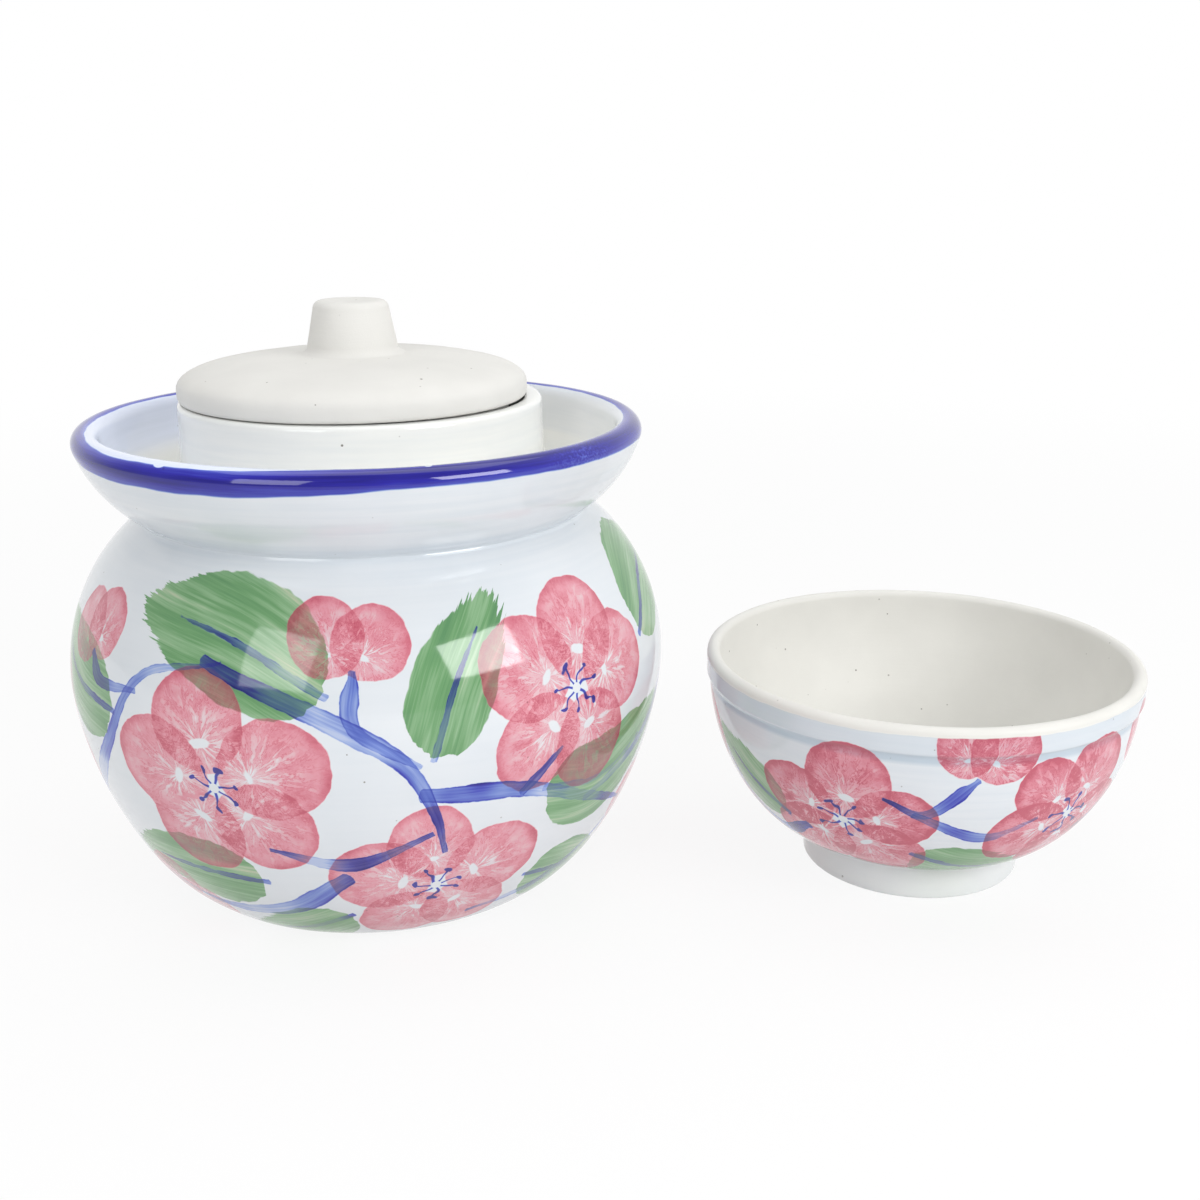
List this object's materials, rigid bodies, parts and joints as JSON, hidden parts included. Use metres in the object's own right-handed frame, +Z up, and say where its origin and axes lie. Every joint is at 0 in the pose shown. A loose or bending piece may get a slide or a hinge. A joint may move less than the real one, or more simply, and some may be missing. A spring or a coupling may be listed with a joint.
{
  "type": "kimchi crock",
  "caption": "Round glazed ceramic pickling crock with a water moat at its neck, a bare clay inner lid with a knob, and a bowl that turns over the lid as a water-sealed cover.",
  "frame": {"origin": "bottom centre of the box round the set, with the bowl standing beside the jar on the same surface", "axes": "+Z up, +X from the jar towards the bowl, and the pictured front faces -Y"},
  "size_m": [0.3468, 0.19, 0.1866],
  "materials": {
    "jar_glaze": "clear gloss glaze over white clay, with a cobalt rim band and underglaze painting",
    "lid_bisque": "matt unglazed white bisque",
    "bowl_glaze": "clear gloss glaze outside with underglaze painting, bare lip and inside"
  },
  "bodies": {
    "jar": {"jar": "jar_glaze"},
    "lid": {"inner_lid": "lid_bisque"},
    "bowl": {"cover_bowl": "bowl_glaze"}
  },
  "joints": [
    {"name": "lid_lift", "type": "slide", "parent": "jar", "child": "lid", "axis": [0, 0, 1], "range_m": [0, 0.1]},
    {"name": "bowl_lift", "type": "slide", "parent": "jar", "child": "bowl", "axis": [0, 0, 1], "range_m": [0, 0.2]}
  ]
}
